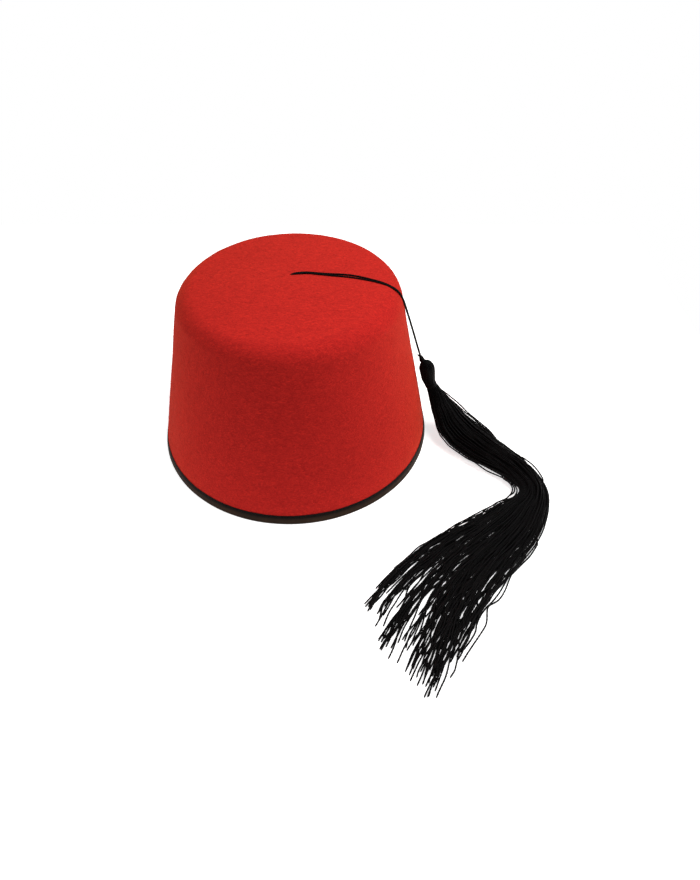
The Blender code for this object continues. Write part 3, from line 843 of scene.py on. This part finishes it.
def coil(start, down, angle, reach):
    """A path round the head's axis, by distances down from a start, angles and distances out."""
    _, axis, across, other = knot_frame()
    outwards = across * np.cos(angle)[:, None] + other * np.sin(angle)[:, None]
    return start + axis * down[:, None] + outwards * reach[:, None]


def make_tassel_knot(finish):
    """The cord's wraps over the tassel's loop, wider downwards, with the short cut end that sticks up."""
    top, axis, _, other = knot_frame()
    rng = np.random.default_rng(SEED + 3)
    made = Mesh()
    for side in (-1, 1):
        strand = strand_path(side)
        apart = other * side * KNOT_APART
        entry, end = (top + axis * down + apart for down in (KNOT_ENTRY, KNOT_LENGTH + KNOT_ENTRY))
        path = np.vstack([strand[-3], strand[-1], entry, end])
        made.tube(evenly(path, CORD_STEP), CORD_DIAMETER * 0.46, 10, ply=0.1, lay=CORD_LAY)
    t = np.linspace(0, 1, 160)
    waist = 0.0005 + 0.00092 * t ** 0.85
    angle = 2 * pi * WRAP_TURNS * t + 0.6
    down = 0.0005 + (KNOT_LENGTH - 0.0009) * t + WRAP_TILT * np.sin(angle + 0.7)
    made.tube(coil(top, down, angle, waist), CORD_DIAMETER * 0.48, 12, ply=0.1, lay=0.0026, tint=0.6)
    outwards = np.array([-sin(TAIL_LEAN), 0, cos(TAIL_LEAN)])
    t = np.linspace(0, 1, 18)[:, None]
    tail = top + axis * KNOT_LENGTH * TAIL_PLACE + outwards * TAIL_LENGTH * t
    tail = tail + np.array([0.0004, -0.0005, 0]) * np.sin(pi * t)
    made.tube(tail, CORD_DIAMETER * 0.52 * (1 + 0.1 * t[:, 0] ** 4), 12, ply=0.12, lay=0.0028, tint=0.5)
    for _ in range(TAIL_WISPS):
        spread = rng.normal(0, 0.3, 3)
        t = np.linspace(0, 1, 6)[:, None]
        wisp = tail[-2] + (outwards + spread * t) * WISP_LENGTH * t + rng.normal(0, 0.0002, 3)
        made.tube(wisp, WISP_RADIUS, 5, tint=rng.uniform(0.3, 0.9))
    return place_piece(made.object("tassel_knot_wound", finish), THREAD_SLOT, "tassel_knot")


def make_stop_knot(finish):
    """The overhand knot under the hole, tied in both strands."""
    made = Mesh()
    drop = dome_height(*HOLE_CENTRE) - FELT
    centre = np.array([HOLE_CENTRE[0], HOLE_CENTRE[1], drop - 0.0022])
    t = np.linspace(0, 2 * pi, 140)[:-1]
    for layer in (-1, 1):
        turned = t + 0.25 * layer
        x = np.sin(turned) + 2 * np.sin(2 * turned)
        y = np.cos(turned) - 2 * np.cos(2 * turned)
        z = -np.sin(3 * turned) * STOP_RISE + layer * STOP_LAYER
        path = centre + np.stack([x * STOP_LOOP, y * STOP_LOOP, z], 1)
        made.tube(path, CORD_DIAMETER * 0.47, 12, ply=0.1, lay=0.0026, tint=0.55)
    for side in (-1, 1):
        t = np.linspace(0, 1, 20)[:, None]
        tail = centre + np.array([0.0003, side * 0.00065, 0.0024]) * (1 - t)
        tail = tail + np.array([0.0016 * side, side * 0.0008, -0.0068]) * t
        tail = tail + np.array([0.0008, 0, 0]) * np.sin(pi * t)
        made.tube(tail, CORD_DIAMETER * 0.46, 12, ply=0.1, lay=0.0028, tint=0.5)
    return place_piece(made.object("stop_knot_tied", finish), THREAD_SLOT, "stop_knot")


def make_neck_binding(finish):
    """Thread wound round the neck in close turns, with one loose turn across them."""
    top, axis, _, _ = knot_frame()
    head_top = top + axis * (KNOT_LENGTH + GAP)
    made = Mesh()
    t = np.linspace(0, 1, 240)
    angle = 2 * pi * (NECK_TURNS + 0.3) * t
    down = HEAD_LENGTH + GAP + NECK_THREAD * (0.5 + (NECK_TURNS - 1) * t) + 0.00005 * np.sin(angle * 2.3)
    reach = NECK_WRAP_RADIUS - 0.0006 * (smoothstep(0.03, 0, t) + smoothstep(0.97, 1, t))
    path = coil(head_top, down, angle, reach)
    made.tube(bent(path), NECK_THREAD * 0.5, 12, ply=0.12, lay=0.0024, tint=0.6)
    angle = np.linspace(0.4, 2.9, 40)
    t = np.linspace(0, 1, 40)
    reach = NECK_WRAP_RADIUS + NECK_THREAD * (0.35 - 0.6 * np.abs(2 * t - 1) ** 6)
    path = coil(head_top, HEAD_LENGTH + GAP + 0.0003 + 0.0026 * t, angle, reach)
    made.tube(bent(path), NECK_THREAD * 0.3, 10, ply=0.12, lay=0.0018, tint=0.7)
    place_piece(made.object("neck_thread", finish), THREAD_SLOT, "neck_binding")


def make_head(finish):
    """The tassel's head: strands folded down over its loop, drawn in a little at the neck."""
    rng = np.random.default_rng(SEED + 4)
    top, axis, across, other = knot_frame()
    head_top = top + axis * (KNOT_LENGTH + GAP)
    made = Mesh()
    rows = smooth_rows(HEAD_PROFILE, 8)
    share, radius = rows[:, 0], rows[:, 1] * HEAD_RADIUS
    angle = 2 * pi * np.arange(28) / 28
    round_way = across * np.cos(angle)[:, None] + other * np.sin(angle)[:, None]
    core_radius = np.maximum(radius - HEAD_CORE_DEPTH, 0.0003)
    core = head_top + axis * (share * HEAD_LENGTH)[:, None, None] + round_way * core_radius[:, None, None]
    quads, caps = tube_faces(len(rows), len(angle))
    made.add(bent(core.reshape(-1, 3)), quads, caps, 0.2)
    for i in range(HEAD_STRANDS):
        twist = rng.normal(0, 0.05)
        sway = rng.uniform(0, 2 * pi)
        turn = 2 * pi * (i + rng.normal(0, 0.16)) / HEAD_STRANDS + HEAD_TWIST * share
        turn = turn + twist * np.sin(pi * share + sway)
        width = np.minimum(pi * radius / HEAD_STRANDS * 1.12, 0.0005)
        reach = radius - width * 0.85 + rng.normal(0, 0.00007) + 0.0001 * np.sin(5 * share + sway)
        path = coil(head_top, share * HEAD_LENGTH, turn, reach)
        made.tube(bent(path), width, 8, ply=0.1, lay=0.004, turn=sway, tint=rng.uniform(0.25, 0.9))
    return place_piece(made.object("tassel_head", finish), THREAD_SLOT)


def skirt_frames():
    """Share of the run, centre, side and up of the skirt at each slice, as the CAD lays it."""
    shares = np.linspace(0, 1, SLICES + 1)
    heading, height, lift = table(SPINE, shares)
    turn = np.radians(heading)
    along = np.stack([np.cos(turn), np.sin(turn)], 1)
    top, axis, _, _ = knot_frame()
    root = top + axis * (KNOT_LENGTH + GAP + HEAD_LENGTH + NECK_THREAD * NECK_TURNS + NECK_FOOT)
    steps = along * SKIRT_RUN / SLICES
    steps[0] = 0
    rest = GAP + height * BUNDLE_HEIGHT / 2
    centre = np.column_stack([root[:2] + steps.cumsum(0), rest + lift * (root[2] - rest)])
    side = np.stack([-along[:, 1], along[:, 0], 0 * turn], 1)
    ahead = unit(np.gradient(centre, axis=0))
    side = unit(side - ahead * (side * ahead).sum(1)[:, None])
    return shares, centre, side, np.cross(ahead, side)


def noise_rows(rng, count, shares, size):
    """Smooth uneven rows, one for each strand, whose swings are about one size long and one unit high."""
    knots = np.arange(0, 1 + 2 * size, size)
    made = rng.normal(0, 1, (count, len(knots)))
    place = shares / size
    i = np.minimum(place.astype(int), len(knots) - 2)
    t = place - i
    t = t * t * (3 - 2 * t)
    return made[:, i] * (1 - t) + made[:, i + 1] * t


def cut_ends(rng):
    """Where each strand ends, in share of the run and distance across, and whether that end shows."""
    ends, across, shown = [], [], []
    for share, place, strands in TIPS:
        for k in range(strands):
            ends.append(share - (k > 0) * (0.004 + abs(rng.normal(0, 0.014))))
            across.append(place + (k > 0) * rng.normal(0, TIP_SPREAD))
            shown.append(k == 0)
    line, limits = np.array(CUT_LINE).T
    while len(ends) < STRANDS:
        place = rng.uniform(*HIDDEN_ACROSS)
        if rng.uniform() < NEAR_TIP:
            place = np.clip(TIPS[rng.integers(len(TIPS))][1] + rng.normal(0, TIP_SPREAD), *FAN_EDGES)
        limit = np.interp(place, line, limits) - 0.002 - abs(rng.normal(0, 0.016))
        ends.append(max(min(rng.normal(HIDDEN_END, HIDDEN_SPREAD), limit), SHORTEST))
        across.append(place)
        shown.append(False)
    return np.array(ends), np.array(across) * MM, np.array(shown)


def lay_strands():
    """Where each strand is wanted in each slice, how firmly, its radius and its end."""
    rng = np.random.default_rng(SEED)
    shares, centre, side, up = skirt_frames()
    left, right, half_height = (column * MM for column in table(BUNDLE, shares))
    middle, half_width = (left + right) / 2, (right - left) / 2
    order = np.arange(STRANDS)
    disc_reach = np.sqrt((order + 0.5) / STRANDS)
    disc_turn = order * pi * (3 - 5 ** 0.5)
    u, v = disc_reach * np.cos(disc_turn), disc_reach * np.sin(disc_turn)
    # on the way to the waist the strands change places
    slots = np.empty(STRANDS, int)
    slots[np.argsort(u + rng.normal(0, 0.22, STRANDS))] = np.argsort(u)
    change = smoothstep(*CHANGES, shares)
    u_later = u[slots]
    lane_u = u[:, None] * (1 - change) + u_later[:, None] * change
    lane_v = v[:, None] * (1 - change) + v[slots][:, None] * change
    ends, tips, shown = cut_ends(rng)
    by_lane = np.argsort(u_later + rng.normal(0, 0.12, STRANDS))
    by_tip = np.argsort(tips)
    for values in (ends, tips, shown):
        values[by_lane] = values[by_tip].copy()
    tip_u = (tips - np.interp(ends, shares, middle)) / np.interp(ends, shares, half_width)
    gather = smoothstep(0, 1, (shares[None] - CHANGES[1]) / (ends[:, None] - CHANGES[1]))
    a = middle + (lane_u * 0.98 * (1 - gather) + tip_u[:, None] * gather) * half_width
    loose, fan = smoothstep(*LOOSENS, shares), smoothstep(*FAN_OPENS, shares)
    steady = 1 - 0.85 * shown[:, None] * smoothstep(-0.1, 0, shares[None] - ends[:, None])
    for size, in_bundle, in_fan in STRAND_SWAYS:
        a = a + noise_rows(rng, STRANDS, shares, size) * (in_bundle * loose + in_fan * fan) * MM * steady
    # in the fan neighbours keep together in clumps, which leaves gaps
    clump = np.argsort(np.argsort(tips + rng.normal(0, 0.0008, STRANDS))) // CLUMP
    clumps = clump.max() + 1
    for size, sway in CLUMP_SWAYS:
        a = a + noise_rows(rng, clumps, shares, size)[clump] * sway * fan * MM * steady
    # what would stray past an edge turns back from it
    a = a + 2 * np.maximum(left - a, 0) - 2 * np.maximum(a - right, 0)
    b = lane_v * 0.96 * half_height + noise_rows(rng, STRANDS, shares, 0.16) * 0.5 * MM * loose
    hold = np.broadcast_to(0.1 + 0.15 * fan, a.shape).copy()
    taken = set()
    for way, points in STRAYS:
        first, last = points[0][0], points[-1][0]
        places = u if last < STRAY_BUNDLE else tips
        i = next(j for j in np.argsort(-way * places) if j not in taken)
        taken.add(i)
        rows = smooth_rows(points, 8)
        own = smoothstep(first - STRAY_BLEND, first, shares)
        own = own * (1 - smoothstep(last, last + STRAY_BLEND, shares))
        a[i] += (np.interp(shares, rows[:, 0], rows[:, 1] * MM) - a[i]) * own
        if last < STRAY_LEVEL:
            b[i] += (0.05 * half_height - b[i]) * own
        if last > STRAY_TIP:
            ends[i] = last
        hold[i] = np.maximum(hold[i], STRAY_HOLD * own)
    radius = NECK_STRAND_RADIUS + (STRAND_RADIUS - NECK_STRAND_RADIUS) * smoothstep(0.0, 0.04, shares)
    return (shares, centre, side, up), a, b, hold, radius, ends


def settle(frames, wanted_a, wanted_b, hold_a, radius, ends):
    """Moves the strands apart, smooths them and lets them down on each other and the floor."""
    shares, centre, _, up = frames
    rng = np.random.default_rng(SEED + 6)
    alive = shares[None] <= ends[:, None] + 1.5 / SLICES
    a, b = wanted_a.copy(), wanted_b.copy()
    floor_b = (radius * (1 + STRAND_PLY) + FLOOR_ROOM - centre[:, 2]) / up[:, 2]
    slide = SLIDE - FAN_STIFFNESS * smoothstep(0.45, 0.6, shares)
    falls = FALL * smoothstep(0.06, 0.15, shares) * (0.25 + 0.75 * smoothstep(0.42, 0.62, shares))
    hold_b = 0.08 * (1 - smoothstep(0.42, 0.66, shares))
    fixed = shares < 0.012
    layer = rng.permutation(len(a)) / len(a)
    over = layer[:, None] - layer[None]
    for turn in range(SETTLE_ROUNDS):
        b = b - falls * (1 - turn / SETTLE_ROUNDS) + (wanted_b - b) * hold_b
        b[:, 1:-1] += ((b[:, :-2] + b[:, 2:]) / 2 - b[:, 1:-1]) * 0.5
        moved = (a - wanted_a) * (1 - hold_a)
        moved[:, 1:-1] += ((moved[:, :-2] + moved[:, 2:]) / 2 - moved[:, 1:-1]) * 0.5
        a = wanted_a + moved
        a[:, fixed], b[:, fixed] = wanted_a[:, fixed], wanted_b[:, fixed]
        push_a, push_b = np.zeros_like(a), np.zeros_like(b)
        for k in range(2, len(shares)):
            live = np.flatnonzero(alive[:, k])
            if len(live) < 2:
                continue
            x, y = a[live, k], b[live, k]
            dx, dy = x[:, None] - x[None], y[:, None] - y[None]
            need = np.maximum(2 * radius[k] - np.sqrt(dx * dx + dy * dy), 0)
            np.fill_diagonal(need, 0)
            dy = dy + over[np.ix_(live, live)] * radius[k]
            share = need / (np.sqrt(dx * dx + dy * dy) + 1e-9) * 0.5
            push_a[live, k] = (dx * share).sum(1)
            push_b[live, k] = (dy * share).sum(1)
        limit = radius * MOST_MOVED
        a = a + np.clip(push_a * slide, -limit, limit)
        b = np.maximum(b + np.clip(push_b * RISE, -limit, limit), floor_b)
    return a, b


def strand_paths():
    """Each strand of the skirt as points with its radius, from inside the neck to its cut end."""
    frames, a, b, hold, radius, ends = lay_strands()
    a, b = settle(frames, a, b, hold, radius, ends)
    _, centre, side, up = frames
    axis = head_axis()
    fine = np.linspace(0, 1, 4 * SLICES + 1)
    paths = []
    for i, end in enumerate(ends):
        points = centre + side * a[i][:, None] + up * b[i][:, None]
        kept = smooth_rows(np.column_stack([points, radius]), 4)[fine <= end]
        out = kept[0, :3] - centre[0]
        neck = [(*(centre[0] + out * drawn_in - axis * inside), NECK_STRAND_RADIUS)
                for inside, drawn_in in NECK_ROOTS]
        rows = evenly(np.vstack([neck, kept]), STRAND_STEP)
        paths.append(np.column_stack([bent(rows[:, :3]), rows[:, 3]]))
    return paths


def make_skirt(finish):
    """The skirt's strands, each a twisted cord, in a few pieces."""
    rng = np.random.default_rng(SEED + 5)
    made = [Mesh() for _ in range(SKIRT_PIECES)]
    for i, rows in enumerate(strand_paths()):
        path, radius = rows[:, :3], rows[:, 3].copy()
        radius[-1] *= 0.8
        turn, tint = rng.uniform(0, 6), rng.uniform(0.15, 1.0)
        made[i % SKIRT_PIECES].tube(path, radius, STRAND_SIDES, STRAND_PLY, STRAND_LAY, turn, tint)
    for i, gathered in enumerate(made, 1):
        place_piece(gathered.object(f"skirt_strands_{i}", finish), THREAD_SLOT, "tassel")


add_camera()
add_studio()
thread = thread_material("rayon", base=(0.002, 0.0017, 0.0019), gloss=0.38, lay=STRAND_LAY)
cord_thread = thread_material("rayon_cord", base=(0.003, 0.002, 0.002), gloss=0.4, lay=CORD_LAY)
knot = make_tassel_knot(cord_thread)
stop = make_stop_knot(cord_thread)
make_cords(cord_thread)
felt = felt_material()
ribbon = ribbon_material()
crown_face, crown_normals = make_crown(felt)
make_nap(crown_face, crown_normals, felt)
make_binding(ribbon)
make_stitches(cord_thread)
make_neck_binding(cord_thread)
make_head(thread)
make_skirt(thread)
